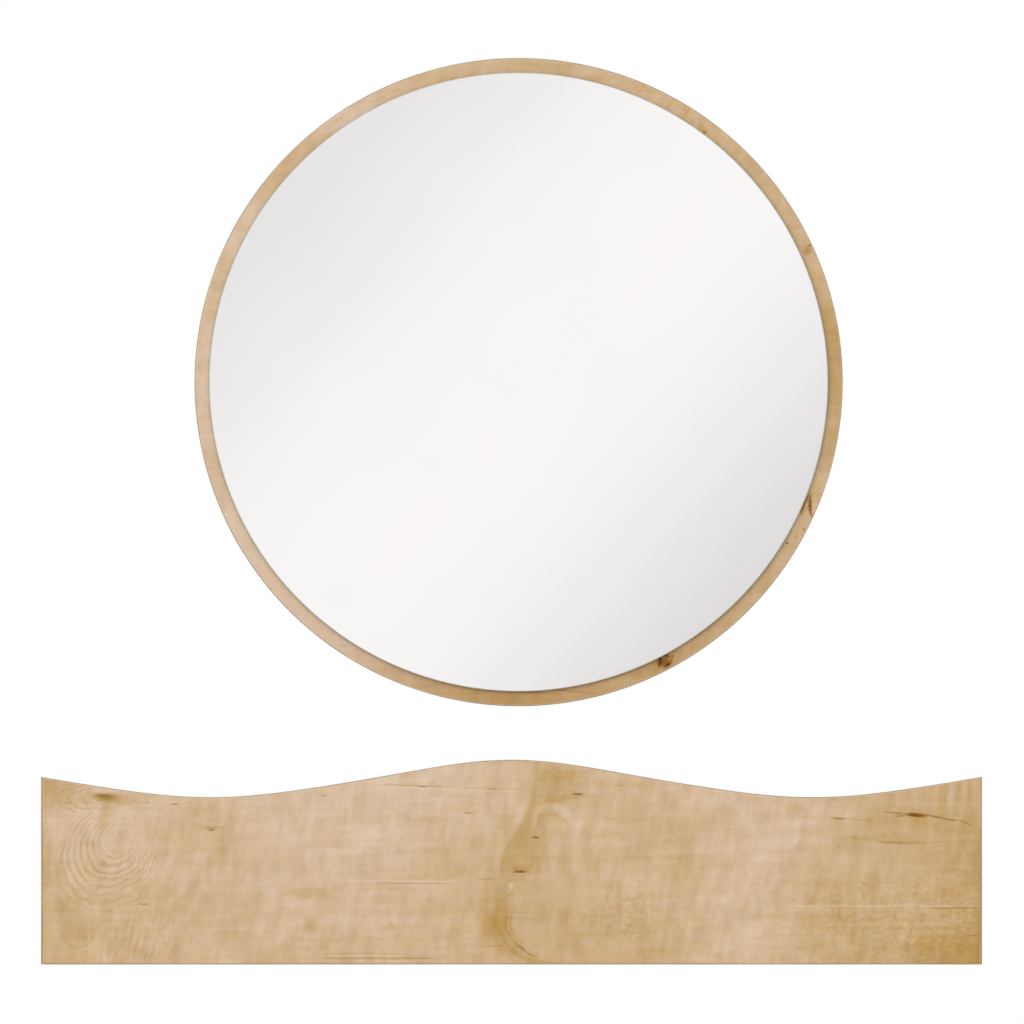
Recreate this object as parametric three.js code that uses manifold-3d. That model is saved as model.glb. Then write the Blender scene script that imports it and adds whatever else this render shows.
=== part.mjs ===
// Mirror with shelf: a round mirror on an oak-faced disc above a wall-hung box shelf with a wavy front.
// Millimetres. +X points right and +Z up, the wall is the plane Y = 0, and the room is towards -Y.
// The origin is the middle of the shelf's wall cleat, on the wall.
import * as THREE from "three";
import { mergeVertices } from "three/addons/utils/BufferGeometryUtils.js";
import Module from "manifold-3d";

const wasm = await Module();
wasm.setup();

// ---- Driving dimensions ------------------------------------------------------------------------

// Stock
const BOARD = 18; // melamine-faced chipboard
const THIN_BAND = 1; // edge band on the wavy, bottom and round edges
const THICK_BAND = 2; // edge band on the two ends of the front
const BOARD_GAP = 0.2; // between two boards that meet
const GLUE_GAP = 0.1; // between a band, a tape or a pad and what it is stuck to

// Shelf: heights are counted from the bottom edge of its front
const SHELF_LENGTH = 900;
const SHELF_DEPTH = 200;
const SHELF_TOP = 150; // the face that things stand on
const FRONT_OVERSAIL = 1; // the front stands past the box at the ends and below
const WALL_CLEARANCE = 1; // behind the boards of the box
const WAVE_MEAN = 177.2;
const WAVE_PITCH = 576;
const WAVE_SWINGS = [17.3, 0.75, 0.6]; // one, two and three waves in a pitch
const WAVE_STEPS = 48;

// Hanging cleats of the shelf, cut at 45 degrees where they meet
const CLEAT_THICKNESS = 18;
const WALL_CLEAT_BOTTOM = 22;
const WALL_CLEAT_BACK_HEIGHT = 50;
const WALL_CLEAT_LENGTH = 840;
const CLEAT_SLOPE_GAP = 0.4;

// Where the shelf's fasteners are: across from the middle, into the room, and up from the bottom edge
const FRONT_CAM_PLACE = 330;
const FRONT_DOWEL_PLACE = 150;
const END_CAM_DEPTH = -125;
const END_DOWEL_DEPTH = -55;
const RIB_DOWEL_DEPTH = -100;
const CLEAT_DOWEL_HEIGHT = 108;

// Mirror
const MIRROR_DIAMETER = 620;
const GLASS_DIAMETER = 592;
const GLASS_THICKNESS = 4;
const GLASS_ARRIS = 0.8;
const MIRROR_HEIGHT = 557; // its middle above the bottom edge of the shelf's front
const MIRROR_OFFSET = 6.8; // its middle to the right of the shelf's middle
const MIRROR_STANDOFF = 8; // wall to the back of the disc
const TAPE_THICKNESS = 1;
const TAPE_WIDTH = 25;
const TAPE_LENGTH = 400;
const TAPE_PITCH = 150;
const ROUND_SIDES = 96;

// Aluminium bars that hook the mirror to the wall
const BAR_LENGTH = 300;
const BAR_WALL = 2;
const BAR_HEIGHT = 200; // foot of the hook above the mirror's middle
const BAR_HOOK = 17; // from the foot of the hook to the web that bears on it
const BAR_WALL_FLANGE = 24; // below the foot of the hook
const BAR_DISC_FLANGE = 28; // above the web
const BAR_LIP_GAP = 0.4; // between the wall bar's lip and the disc's flange
const BAR_BEARING_GAP = 0.3; // between the web and the lip that it rests on
const BAR_LIP_CLEARANCE = 1; // between the disc bar's lip and the wall
const BAR_SCREW_PITCH = 120;
const BAR_SCREW_HEIGHT = 14; // above the web
const BAR_WALL_SCREW_PLACES = [-100, 100];
const BUMPER_DIAMETER = 20;
const BUMPER_CHAMFER = 2;
const BUMPER_PLACE = { x: 150, z: -220 };

// Flat-pack fasteners
const CAM_DIAMETER = 15;
const CAM_LENGTH = 13.4;
const CAM_SETBACK = 24; // cam's middle to the board's edge
const CAM_SLOT = { length: 9, width: 1.6, depth: 2.5 }; // cross slot for a screwdriver
const BOLT_THREAD = { radius: 3, length: 10 };
const BOLT_SHANK_RADIUS = 2.5;
const BOLT_HEAD = { radius: 3.5, length: 3 };
const DOWEL = { radius: 4, length: 30, inFace: 11 };
const SCREW = { radius: 2, length: 14, tip: 3, headRadius: 4, headHeight: 2.6 };
const WALL_SCREW = { holeRadius: 2.75, headRadius: 5.5, headDepth: 3 };
const CLEAT_SCREW_PLACES = [-380, -140, 140, 380];
const HOLE_CLEARANCE = 0.25; // on the radius
const HOLE_EXTRA = 1; // past the end of what goes in, or out through a face
const FASTENER_SIDES = 12;
const CAM_SIDES = 16;

// ---- Derived dimensions ------------------------------------------------------------------------

const HALF_LENGTH = SHELF_LENGTH / 2;
const FRONT_BACK = -(SHELF_DEPTH - BOARD); // rear face of the front panel
const BOX_FRONT = FRONT_BACK + BOARD_GAP;
const BOX_BACK = -WALL_CLEARANCE;
const BOX_END = HALF_LENGTH - FRONT_OVERSAIL;
const BOTTOM_TOP = FRONT_OVERSAIL + BOARD; // upper face of the bottom board
const TOP_UNDERSIDE = SHELF_TOP - BOARD;
const SIDE_LOW = BOTTOM_TOP + BOARD_GAP;
const SIDE_HIGH = TOP_UNDERSIDE - BOARD_GAP;
const SIDE_INNER = BOX_END - BOARD;
const BOX_CLEAT_END = SIDE_INNER - BOARD_GAP;
const CORE_END = BOX_END - THIN_BAND - GLUE_GAP; // end of the top and bottom boards under their bands
const WALL_CLEAT_TOP = WALL_CLEAT_BOTTOM + WALL_CLEAT_BACK_HEIGHT; // at the wall; 18 more in front
const ORIGIN_HEIGHT = WALL_CLEAT_BOTTOM + WALL_CLEAT_BACK_HEIGHT / 2;
const DISC_BACK = -MIRROR_STANDOFF;
const DISC_FRONT = DISC_BACK - BOARD;
const GLASS_BACK = DISC_FRONT - TAPE_THICKNESS;

const X = new THREE.Vector3(1, 0, 0);
const Y = new THREE.Vector3(0, 1, 0);
const Z = new THREE.Vector3(0, 0, 1);
const SIDES = [
  ["left", -1],
  ["right", 1],
];
const THIRDS = [
  ["left", -1],
  ["middle", 0],
  ["right", 1],
];

// ---- Materials ---------------------------------------------------------------------------------

const finish = (name, color, roughness, metalness) =>
  new THREE.MeshStandardMaterial({ name, color, roughness, metalness });

const OAK = finish("oak_board", 0xcdae86, 0.55, 0);
const BAND = finish("oak_edge_band", 0xc09a68, 0.5, 0);
const MIRROR = finish("mirror_glass", 0xf2f3f4, 0.02, 1);
const FOAM = finish("foam_tape", 0xe9e8e2, 0.9, 0);
const ALUMINIUM = finish("aluminium_bar", 0xc6c9cc, 0.35, 1);
const ZINC = finish("zinc_cam", 0x9fa3a6, 0.45, 1);
const STEEL = finish("steel_fastener", 0xb9bbb8, 0.3, 1);
const BEECH = finish("beech_dowel", 0xd9b88c, 0.7, 0);
const PLYWOOD = finish("plywood_cleat", 0xd8bd92, 0.75, 0);
const RUBBER = finish("rubber_bumper", 0x2a2a2b, 0.85, 0);

// ---- Solids ------------------------------------------------------------------------------------

// A closed three.js geometry as a manifold solid.
function toSolid(geometry) {
  const bare = geometry.clone();
  bare.deleteAttribute("normal");
  bare.deleteAttribute("uv");
  const merged = mergeVertices(bare, 1e-3);
  const vertProperties = merged.attributes.position.array;
  const triVerts = new Uint32Array(merged.index.array);
  return new wasm.Manifold(new wasm.Mesh({ numProp: 3, vertProperties, triVerts }));
}

// A manifold solid as a flat-shaded three.js geometry.
function toGeometry(solid) {
  const made = solid.getMesh();
  const indexed = new THREE.BufferGeometry();
  indexed.setAttribute("position", new THREE.BufferAttribute(made.vertProperties, made.numProp));
  indexed.setIndex(new THREE.BufferAttribute(made.triVerts, 1));
  const flat = indexed.toNonIndexed();
  flat.computeVertexNormals();
  return flat;
}

// The geometry less its cutters, which are in the same frame.
function cut(geometry, cutters) {
  if (!cutters.length) return geometry;
  const left = cutters.reduce((solid, cutter) => solid.subtract(toSolid(cutter)), toSolid(geometry));
  return toGeometry(left);
}

// Adds a named mesh to a group. The geometry is in the group's frame, and the mesh's origin is its middle.
function add(group, name, material, geometry) {
  geometry.computeBoundingBox();
  const centre = geometry.boundingBox.getCenter(new THREE.Vector3());
  geometry.translate(-centre.x, -centre.y, -centre.z);
  const mesh = new THREE.Mesh(geometry, material);
  mesh.name = name;
  mesh.position.copy(centre);
  group.add(mesh);
  return mesh;
}

// A box between two corners, each [x, y, z].
function block(low, high) {
  const size = high.map((value, axis) => value - low[axis]);
  const geometry = new THREE.BoxGeometry(...size);
  geometry.translate(...low.map((value, axis) => value + size[axis] / 2));
  return geometry;
}

// A plate cut to an outline of x and height, from the depth `back` forward into the room.
function plate(shape, back, thickness) {
  const geometry = new THREE.ExtrudeGeometry(shape, { depth: thickness, bevelEnabled: false });
  geometry.rotateX(Math.PI / 2);
  geometry.translate(0, back, 0);
  return geometry;
}

// A bar with an outline of depth and height, [y, z] points, that runs along X about x = 0.
function bar(outline, length) {
  const shape = new THREE.Shape(outline.map(([y, z]) => new THREE.Vector2(y, z)));
  const geometry = new THREE.ExtrudeGeometry(shape, { depth: length, bevelEnabled: false });
  // The extrusion's own x, y and z become depth, height and length.
  geometry.applyMatrix4(new THREE.Matrix4().makeBasis(Y, Z, X));
  geometry.translate(-length / 2, 0, 0);
  return geometry;
}

// A turned piece: [radius, distance] points along its axis, which starts at `place` and runs along `aim`.
function turned(profile, sides, place, aim) {
  const points = profile.map(([radius, along]) => new THREE.Vector2(radius, along));
  const geometry = new THREE.LatheGeometry(points, sides);
  geometry.applyQuaternion(new THREE.Quaternion().setFromUnitVectors(Y, aim));
  geometry.translate(place.x, place.y, place.z);
  return geometry;
}

// A plain round rod between two distances from `place` along `aim`.
function rod(radius, from, to, place, aim, sides = FASTENER_SIDES) {
  const profile = [
    [0, from],
    [radius, from],
    [radius, to],
    [0, to],
  ];
  return turned(profile, sides, place, aim);
}

// ---- Fasteners ---------------------------------------------------------------------------------

// A cam joint between the edge of one board and the face of another. `edge` is the middle of the first
// board's edge, `aim` points from there into the other board, and `face` is the side that the cam is put
// in from. Returns the holes that each board needs.
function camJoint(group, name, edge, aim, face) {
  const middle = edge.clone().addScaledVector(aim, -CAM_SETBACK);
  const faceDistance = BOARD / 2;
  const camTop = faceDistance - BOARD_GAP;
  const camBottom = camTop - CAM_LENGTH;
  const channelRadius = BOLT_HEAD.radius + HOLE_CLEARANCE;
  const channel = rod(channelRadius, -BOLT_HEAD.length, CAM_SETBACK, middle, aim);
  const across = new THREE.Vector3().crossVectors(aim, face);
  const slots = [aim, across].map((along) => {
    const slot = new THREE.BoxGeometry(CAM_SLOT.length, CAM_SLOT.width, 2 * CAM_SLOT.depth);
    const side = new THREE.Vector3().crossVectors(face, along);
    slot.applyMatrix4(new THREE.Matrix4().makeBasis(along, side, face));
    const place = middle.clone().addScaledVector(face, camTop);
    return slot.translate(place.x, place.y, place.z);
  });
  const cam = rod(CAM_DIAMETER / 2, camBottom, camTop, middle, face, CAM_SIDES);
  add(group, `${name}_cam`, ZINC, cut(cam, [channel, ...slots]));

  const bolt = [
    [0, -CAM_SETBACK - BOLT_HEAD.length / 2],
    [BOLT_HEAD.radius, -CAM_SETBACK - BOLT_HEAD.length / 2],
    [BOLT_HEAD.radius, -CAM_SETBACK + BOLT_HEAD.length / 2],
    [BOLT_SHANK_RADIUS, -CAM_SETBACK + BOLT_HEAD.length / 2],
    [BOLT_SHANK_RADIUS, BOARD_GAP],
    [BOLT_THREAD.radius, BOARD_GAP],
    [BOLT_THREAD.radius, BOLT_THREAD.length],
    [0, BOLT_THREAD.length],
  ];
  add(group, `${name}_bolt`, STEEL, turned(bolt, FASTENER_SIDES, edge, aim));

  const boreRadius = CAM_DIAMETER / 2 + HOLE_CLEARANCE;
  const boreBottom = camBottom - HOLE_CLEARANCE;
  const bore = rod(boreRadius, boreBottom, faceDistance + HOLE_EXTRA, middle, face, CAM_SIDES);
  const boltPath = rod(channelRadius + HOLE_CLEARANCE, 0, CAM_SETBACK + HOLE_EXTRA, middle, aim);
  const threadRadius = BOLT_THREAD.radius + HOLE_CLEARANCE;
  const threadHole = rod(threadRadius, -HOLE_EXTRA, BOLT_THREAD.length + HOLE_EXTRA, edge, aim);
  return { inEdge: [bore, boltPath], inFace: [threadHole] };
}

// A glued dowel between the edge of one board and the face of another, placed as a cam joint is.
function dowelJoint(group, name, edge, aim) {
  const inEdge = DOWEL.length - DOWEL.inFace;
  add(group, `${name}_dowel`, BEECH, rod(DOWEL.radius, -inEdge, DOWEL.inFace, edge, aim));
  const radius = DOWEL.radius + HOLE_CLEARANCE;
  const hole = rod(radius, -inEdge - HOLE_EXTRA, DOWEL.inFace + HOLE_EXTRA, edge, aim);
  return { inEdge: [hole], inFace: [hole] };
}

// A hole for a wall screw through a piece of some thickness that stands on the wall at `place`, sunk for
// the screw's head where the piece is thick enough.
function wallScrewHole(place, thickness) {
  const sink = thickness > WALL_SCREW.headDepth ? WALL_SCREW.headRadius : WALL_SCREW.holeRadius;
  const profile = [
    [0, -HOLE_EXTRA],
    [WALL_SCREW.holeRadius, -HOLE_EXTRA],
    [WALL_SCREW.holeRadius, Math.max(thickness - WALL_SCREW.headDepth, 0)],
    [sink, thickness],
    [sink, thickness + HOLE_EXTRA],
    [0, thickness + HOLE_EXTRA],
  ];
  return turned(profile, FASTENER_SIDES, place, Y.clone().negate());
}

// ---- Shelf -------------------------------------------------------------------------------------

// Height of the wavy edge above the front's bottom edge.
function wave(x) {
  const turn = (2 * Math.PI * x) / WAVE_PITCH;
  return WAVE_SWINGS.reduce((sum, swing, order) => sum + swing * Math.cos((order + 1) * turn), WAVE_MEAN);
}

// Points along the wavy edge lowered by `drop`, from x = half to x = -half.
function wavePoints(half, drop) {
  return Array.from({ length: WAVE_STEPS + 1 }, (_, step) => {
    const x = half * (1 - (2 * step) / WAVE_STEPS);
    return new THREE.Vector2(x, wave(x) - drop);
  });
}

function buildShelf() {
  const shelf = new THREE.Group();
  shelf.position.z = -ORIGIN_HEIGHT;

  // What each board loses to its fasteners.
  const holes = { front: [], top: [], bottom: [], left: [], right: [], rib: [], cleat: [] };
  const boardMiddle = { top: SHELF_TOP - BOARD / 2, bottom: BOTTOM_TOP - BOARD / 2 };
  const endEdges = { top: SIDE_HIGH, bottom: SIDE_LOW };
  const into = new Map([
    ["top", Z],
    ["bottom", Z.clone().negate()],
  ]);

  // The front is pulled on to the top and bottom boards; their cams are reached from inside the box.
  const towardsRoom = Y.clone().negate();
  for (const level of ["top", "bottom"]) {
    const inside = into.get(level).clone().negate();
    for (const [side, sign] of SIDES) {
      const edge = new THREE.Vector3(sign * FRONT_CAM_PLACE, BOX_FRONT, boardMiddle[level]);
      const cam = camJoint(shelf, `front_${level}_${side}`, edge, towardsRoom, inside);
      const dowelEdge = edge.clone().setX(sign * FRONT_DOWEL_PLACE);
      const dowel = dowelJoint(shelf, `front_${level}_${side}`, dowelEdge, towardsRoom);
      holes[level].push(...cam.inEdge, ...dowel.inEdge);
      holes.front.push(...cam.inFace, ...dowel.inFace);
    }
  }

  // The ends stand between the bottom and the top board, with their cams on the inner faces.
  for (const [side, sign] of SIDES) {
    for (const [level, edgeHeight] of Object.entries(endEdges)) {
      const edge = new THREE.Vector3(sign * (BOX_END - BOARD / 2), END_CAM_DEPTH, edgeHeight);
      const inside = X.clone().multiplyScalar(-sign);
      const cam = camJoint(shelf, `${side}_end_${level}`, edge, into.get(level), inside);
      const dowelEdge = edge.clone().setY(END_DOWEL_DEPTH);
      const dowel = dowelJoint(shelf, `${side}_end_${level}`, dowelEdge, into.get(level));
      holes[side].push(...cam.inEdge, ...dowel.inEdge);
      holes[level].push(...cam.inFace, ...dowel.inFace);
    }
    // The box's own cleat is doweled to the ends.
    const cleatMiddle = BOX_BACK - CLEAT_THICKNESS / 2;
    const cleatEnd = new THREE.Vector3(sign * BOX_CLEAT_END, cleatMiddle, CLEAT_DOWEL_HEIGHT);
    const cleatDowel = dowelJoint(shelf, `${side}_cleat`, cleatEnd, X.clone().multiplyScalar(sign));
    holes.cleat.push(...cleatDowel.inEdge);
    holes[side].push(...cleatDowel.inFace);
  }

  // The rib in the middle keeps the top from sagging.
  for (const [level, edgeHeight] of Object.entries(endEdges)) {
    const edge = new THREE.Vector3(0, RIB_DOWEL_DEPTH, edgeHeight);
    const dowel = dowelJoint(shelf, `rib_${level}`, edge, into.get(level));
    holes.rib.push(...dowel.inEdge);
    holes[level].push(...dowel.inFace);
  }

  // Front panel and its bands.
  const panelHalf = HALF_LENGTH - THICK_BAND - GLUE_GAP;
  const bandLine = THIN_BAND + GLUE_GAP;
  const panelFoot = [new THREE.Vector2(-panelHalf, bandLine), new THREE.Vector2(panelHalf, bandLine)];
  const panel = new THREE.Shape([...wavePoints(panelHalf, bandLine), ...panelFoot]);
  add(shelf, "shelf_front_panel", OAK, cut(plate(panel, FRONT_BACK, BOARD), holes.front));
  const bandUnderside = wavePoints(panelHalf, THIN_BAND).reverse();
  const waveBand = new THREE.Shape([...wavePoints(panelHalf, 0), ...bandUnderside]);
  add(shelf, "front_band_wavy_edge", BAND, plate(waveBand, FRONT_BACK, BOARD));
  const frontFace = FRONT_BACK - BOARD;
  const bottomBand = block([-panelHalf, frontFace, 0], [panelHalf, FRONT_BACK, THIN_BAND]);
  add(shelf, "front_band_bottom_edge", BAND, bottomBand);
  for (const [side, sign] of SIDES) {
    const inner = sign * (HALF_LENGTH - THICK_BAND);
    const outer = sign * HALF_LENGTH;
    const corners = [
      [inner, 0],
      [outer, 0],
      [outer, wave(outer)],
      [inner, wave(inner)],
    ];
    const shape = new THREE.Shape(corners.map(([x, z]) => new THREE.Vector2(x, z)));
    add(shelf, `front_band_${side}_end`, BAND, plate(shape, FRONT_BACK, BOARD));
  }

  // Top and bottom boards, with a band on each end.
  for (const [level, low, high] of [
    ["top", TOP_UNDERSIDE, SHELF_TOP],
    ["bottom", FRONT_OVERSAIL, BOTTOM_TOP],
  ]) {
    const board = block([-CORE_END, BOX_FRONT, low], [CORE_END, BOX_BACK, high]);
    add(shelf, `shelf_${level}_board`, OAK, cut(board, holes[level]));
    for (const [side, sign] of SIDES) {
      const faces = [sign * (BOX_END - THIN_BAND), sign * BOX_END].sort((a, b) => a - b);
      const band = block([faces[0], BOX_FRONT, low], [faces[1], BOX_BACK, high]);
      add(shelf, `${level}_board_band_${side}`, BAND, band);
    }
  }

  // End panels.
  for (const [side, sign] of SIDES) {
    const faces = [sign * SIDE_INNER, sign * BOX_END].sort((a, b) => a - b);
    const end = block([faces[0], BOX_FRONT, SIDE_LOW], [faces[1], BOX_BACK, SIDE_HIGH]);
    add(shelf, `shelf_${side}_end`, OAK, cut(end, holes[side]));
  }

  // Middle rib, which stops short of the cleats.
  const ribBack = -CLEAT_THICKNESS - WALL_CLEARANCE - BOARD_GAP;
  const rib = block([-BOARD / 2, BOX_FRONT, SIDE_LOW], [BOARD / 2, ribBack, SIDE_HIGH]);
  add(shelf, "shelf_middle_rib", OAK, cut(rib, holes.rib));

  // The wall cleat slopes down towards the wall, so the box's cleat drops in behind its front edge.
  const wallCleat = [
    [0, WALL_CLEAT_BOTTOM],
    [0, WALL_CLEAT_TOP],
    [-CLEAT_THICKNESS, WALL_CLEAT_TOP + CLEAT_THICKNESS],
    [-CLEAT_THICKNESS, WALL_CLEAT_BOTTOM],
  ];
  const cleatHoles = CLEAT_SCREW_PLACES.map((x) =>
    wallScrewHole(new THREE.Vector3(x, 0, ORIGIN_HEIGHT), CLEAT_THICKNESS),
  );
  add(shelf, "shelf_wall_cleat", PLYWOOD, cut(bar(wallCleat, WALL_CLEAT_LENGTH), cleatHoles));
  const slopeAt = (y) => WALL_CLEAT_TOP - y + CLEAT_SLOPE_GAP;
  const boxCleatFront = BOX_BACK - CLEAT_THICKNESS;
  const boxCleat = [
    [BOX_BACK, slopeAt(BOX_BACK)],
    [BOX_BACK, SIDE_HIGH],
    [boxCleatFront, SIDE_HIGH],
    [boxCleatFront, slopeAt(boxCleatFront)],
  ];
  add(shelf, "shelf_box_cleat", PLYWOOD, cut(bar(boxCleat, 2 * BOX_CLEAT_END), holes.cleat));
  return shelf;
}

// ---- Mirror ------------------------------------------------------------------------------------

function buildMirror() {
  const mirror = new THREE.Group();
  mirror.position.set(MIRROR_OFFSET, 0, MIRROR_HEIGHT - ORIGIN_HEIGHT);
  const middle = new THREE.Vector3(0, 0, 0);
  const bandInner = MIRROR_DIAMETER / 2 - THIN_BAND;

  // Two hooked bars: the one on the disc drops its lip behind the lip of the one on the wall.
  const wallLipFront = DISC_BACK + BAR_WALL + BAR_LIP_GAP;
  const wallLipBack = wallLipFront + BAR_WALL;
  const wallLipTop = BAR_HOOK - BAR_BEARING_GAP;
  const wallBar = [
    [0, -BAR_WALL_FLANGE],
    [0, BAR_WALL],
    [wallLipBack, BAR_WALL],
    [wallLipBack, wallLipTop],
    [wallLipFront, wallLipTop],
    [wallLipFront, 0],
    [-BAR_WALL, 0],
    [-BAR_WALL, -BAR_WALL_FLANGE],
  ];
  const plateBack = DISC_BACK + BAR_WALL;
  const discLipBack = -BAR_LIP_CLEARANCE;
  const discLipFront = discLipBack - BAR_WALL;
  const discLipEnd = 2 * BAR_WALL;
  const discBar = [
    [discLipBack, discLipEnd],
    [discLipBack, BAR_HOOK + BAR_WALL],
    [plateBack, BAR_HOOK + BAR_WALL],
    [plateBack, BAR_HOOK + BAR_DISC_FLANGE],
    [DISC_BACK, BAR_HOOK + BAR_DISC_FLANGE],
    [DISC_BACK, BAR_HOOK],
    [discLipFront, BAR_HOOK],
    [discLipFront, discLipEnd],
  ];
  const lift = (geometry) => geometry.translate(0, 0, BAR_HEIGHT);
  const barScrewHeight = BAR_HEIGHT - BAR_WALL_FLANGE / 2;
  const barHoles = BAR_WALL_SCREW_PLACES.map((x) =>
    wallScrewHole(new THREE.Vector3(x, 0, barScrewHeight), BAR_WALL),
  );
  add(mirror, "mirror_wall_bar", ALUMINIUM, cut(lift(bar(wallBar, BAR_LENGTH)), barHoles));

  const towardsRoom = Y.clone().negate();
  const screwHoles = [];
  const screwHeight = BAR_HEIGHT + BAR_HOOK + BAR_SCREW_HEIGHT;
  for (const [label, third] of THIRDS) {
    const place = new THREE.Vector3(third * BAR_SCREW_PITCH, plateBack, screwHeight);
    const screw = [
      [0, -SCREW.headHeight],
      [SCREW.headRadius * 0.7, -SCREW.headHeight],
      [SCREW.headRadius, -SCREW.headHeight * 0.4],
      [SCREW.headRadius, 0],
      [SCREW.radius, 0],
      [SCREW.radius, SCREW.length - SCREW.tip],
      [0, SCREW.length],
    ];
    add(mirror, `mirror_bar_screw_${label}`, STEEL, turned(screw, FASTENER_SIDES, place, towardsRoom));
    const holeRadius = SCREW.radius + HOLE_CLEARANCE;
    screwHoles.push(rod(holeRadius, -HOLE_EXTRA, SCREW.length + HOLE_EXTRA, place, towardsRoom));
  }
  add(mirror, "mirror_disc_bar", ALUMINIUM, cut(lift(bar(discBar, BAR_LENGTH)), screwHoles));

  // Disc, its band, the tapes and the glass, from the wall towards the room.
  const discRadius = bandInner - GLUE_GAP;
  const disc = rod(discRadius, -DISC_BACK, -DISC_FRONT, middle, towardsRoom, ROUND_SIDES);
  add(mirror, "mirror_disc", OAK, cut(disc, screwHoles));
  const bandRing = [
    [bandInner, -DISC_BACK],
    [MIRROR_DIAMETER / 2, -DISC_BACK],
    [MIRROR_DIAMETER / 2, -DISC_FRONT],
    [bandInner, -DISC_FRONT],
    [bandInner, -DISC_BACK],
  ];
  add(mirror, "mirror_disc_band", BAND, turned(bandRing, ROUND_SIDES, middle, towardsRoom));
  for (const [label, third] of THIRDS) {
    const x = third * TAPE_PITCH;
    const low = [x - TAPE_WIDTH / 2, GLASS_BACK + GLUE_GAP, -TAPE_LENGTH / 2];
    const high = [x + TAPE_WIDTH / 2, DISC_FRONT - GLUE_GAP, TAPE_LENGTH / 2];
    add(mirror, `mirror_tape_${label}`, FOAM, block(low, high));
  }
  const glass = [
    [0, -GLASS_BACK],
    [GLASS_DIAMETER / 2, -GLASS_BACK],
    [GLASS_DIAMETER / 2, -GLASS_BACK + GLASS_THICKNESS - GLASS_ARRIS],
    [GLASS_DIAMETER / 2 - GLASS_ARRIS, -GLASS_BACK + GLASS_THICKNESS],
    [0, -GLASS_BACK + GLASS_THICKNESS],
  ];
  add(mirror, "mirror_glass", MIRROR, turned(glass, ROUND_SIDES, middle, towardsRoom));

  // Bumpers low on the back hold the disc parallel to the wall.
  for (const [side, sign] of SIDES) {
    const place = new THREE.Vector3(sign * BUMPER_PLACE.x, 0, BUMPER_PLACE.z);
    const bumper = [
      [0, 0],
      [BUMPER_DIAMETER / 2 - BUMPER_CHAMFER, 0],
      [BUMPER_DIAMETER / 2, BUMPER_CHAMFER],
      [BUMPER_DIAMETER / 2, MIRROR_STANDOFF - GLUE_GAP],
      [0, MIRROR_STANDOFF - GLUE_GAP],
    ];
    add(mirror, `mirror_bumper_${side}`, RUBBER, turned(bumper, CAM_SIDES, place, towardsRoom));
  }
  return mirror;
}

// ---- The whole ---------------------------------------------------------------------------------

const mirrorWithShelf = new THREE.Group();
mirrorWithShelf.name = "mirror_with_shelf";
mirrorWithShelf.add(buildShelf(), buildMirror());

export default mirrorWithShelf;
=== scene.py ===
# %% [markdown]
# # A round mirror above a wavy wall shelf
#
# Two units hang on a wall: a round mirror glued to an oak-faced disc, and a hollow box shelf whose
# front board has a wavy top edge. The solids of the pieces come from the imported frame. This script
# gives them their looks: fine edges, oak decor with knots and streaks, glass and metal.
#
# The frame is in metres: +X points right, +Z up, and the wall is the plane Y = 0 at the back.

# %% Load the frame
import math

import bmesh
import bpy
from mathutils import Matrix, Vector


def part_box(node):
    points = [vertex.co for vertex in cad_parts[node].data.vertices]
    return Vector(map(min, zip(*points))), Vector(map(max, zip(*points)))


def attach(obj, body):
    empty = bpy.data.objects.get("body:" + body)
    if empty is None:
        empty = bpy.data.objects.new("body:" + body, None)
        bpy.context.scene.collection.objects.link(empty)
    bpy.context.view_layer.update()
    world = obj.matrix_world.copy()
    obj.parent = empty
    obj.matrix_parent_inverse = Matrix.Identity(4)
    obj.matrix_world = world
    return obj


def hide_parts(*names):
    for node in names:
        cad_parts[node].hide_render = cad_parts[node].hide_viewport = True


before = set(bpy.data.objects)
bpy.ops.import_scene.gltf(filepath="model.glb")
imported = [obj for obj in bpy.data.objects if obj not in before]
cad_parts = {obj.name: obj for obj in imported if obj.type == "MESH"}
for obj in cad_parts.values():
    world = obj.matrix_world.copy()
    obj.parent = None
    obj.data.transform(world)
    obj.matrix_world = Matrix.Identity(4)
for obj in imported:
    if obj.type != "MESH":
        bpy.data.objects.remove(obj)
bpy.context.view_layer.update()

MM = 0.001
X, Y, Z = Vector((1, 0, 0)), Vector((0, 1, 0)), Vector((0, 0, 1))
ROOM = -Y  # from the wall towards whoever looks into the mirror
scene = bpy.context.scene

# %% [markdown]
# ## Small tools for materials
#
# Colours are written as the hex codes that a picture editor shows, which are sRGB. Cycles counts
# in linear light, so one function turns them. Another adds a node: each socket gets either a plain
# value or the output that feeds it. Short names for arithmetic follow, and `grained`, which makes
# a simple material from one pattern.

# %% Colours and nodes


def linear(code):
    """The linear colour of an sRGB hex code such as "C8A878"."""
    shares = [int(code[at : at + 2], 16) / 255 for at in (0, 2, 4)]
    return (*(s / 12.92 if s <= 0.04045 else ((s + 0.055) / 1.055) ** 2.4 for s in shares), 1)


def put(tree, kind, sockets=None, out=0, **settings):
    """Adds a node with its settings, and a value or a link for each socket. Returns one output."""
    made = tree.nodes.new("ShaderNode" + kind)
    for setting, value in settings.items():
        setattr(made, setting, value)
    for socket, value in (sockets or {}).items():
        if isinstance(value, bpy.types.NodeSocket):
            tree.links.new(value, made.inputs[socket])
        else:
            made.inputs[socket].default_value = value
    return made.outputs[out] if len(made.outputs) else made


def new_material(name):
    """An empty node material and its tree."""
    material = bpy.data.materials.new(name)
    material.use_nodes = True
    material.node_tree.nodes.clear()
    return material, material.node_tree


def calc(tree, operation, *values):
    """Arithmetic on numbers."""
    return put(tree, "Math", dict(enumerate(values)), operation=operation)


def vector(tree, operation, *values, out="Vector"):
    """Arithmetic on vectors."""
    return put(tree, "VectorMath", dict(enumerate(values)), out=out, operation=operation)


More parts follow.
